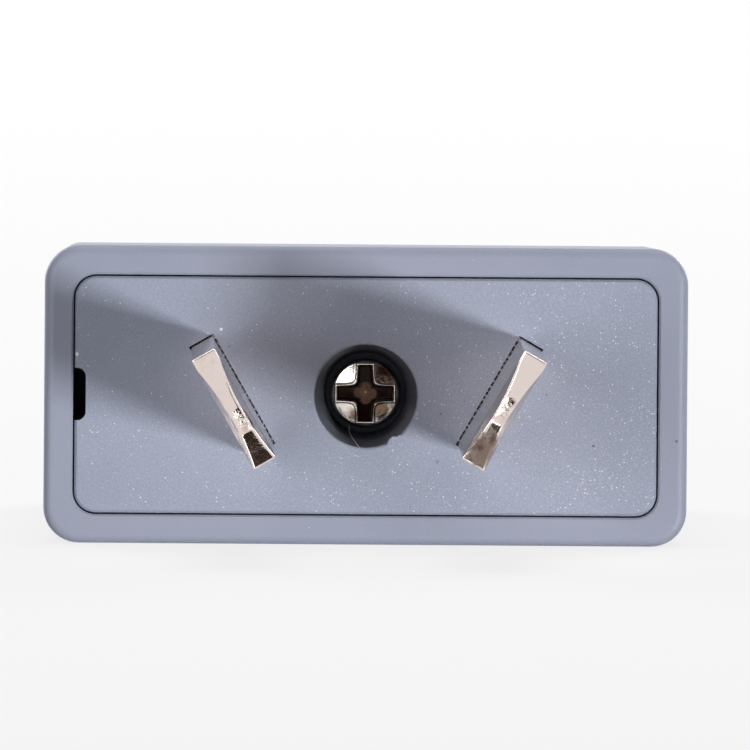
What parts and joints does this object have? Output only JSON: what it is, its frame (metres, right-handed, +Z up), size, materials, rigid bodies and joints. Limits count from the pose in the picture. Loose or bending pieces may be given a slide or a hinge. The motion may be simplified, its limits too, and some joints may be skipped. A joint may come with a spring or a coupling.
{
  "type": "plug adapter",
  "caption": "Plug adapter with slanted flat pins on a screwed base plate, and a drafted moulded housing whose socket face takes round or flat pins.",
  "frame": {"origin": "centre of the pin face, midway between the flat pins", "axes": "+X to the right seen from the pin side, +Y from the pin face through the body to the socket face, +Z up; the flat pins point along -Y"},
  "size_m": [0.033, 0.0453, 0.0152],
  "materials": {
    "housing_plastic": "satin",
    "plate_plastic": "matte",
    "nickelled_brass": "satin",
    "spring_brass": null,
    "rivet_brass": null,
    "plated_steel": null
  },
  "bodies": {
    "root": {"housing": "housing_plastic", "base_plate": "plate_plastic", "blade_left": "nickelled_brass", "blade_right": "nickelled_brass", "contact_strap_left": "spring_brass", "contact_strap_right": "spring_brass", "middle_leaf_left": "spring_brass", "middle_leaf_right": "spring_brass", "contact_rivet_left": "rivet_brass", "contact_rivet_right": "rivet_brass", "case_screw": "plated_steel"}
  },
  "joints": []
}
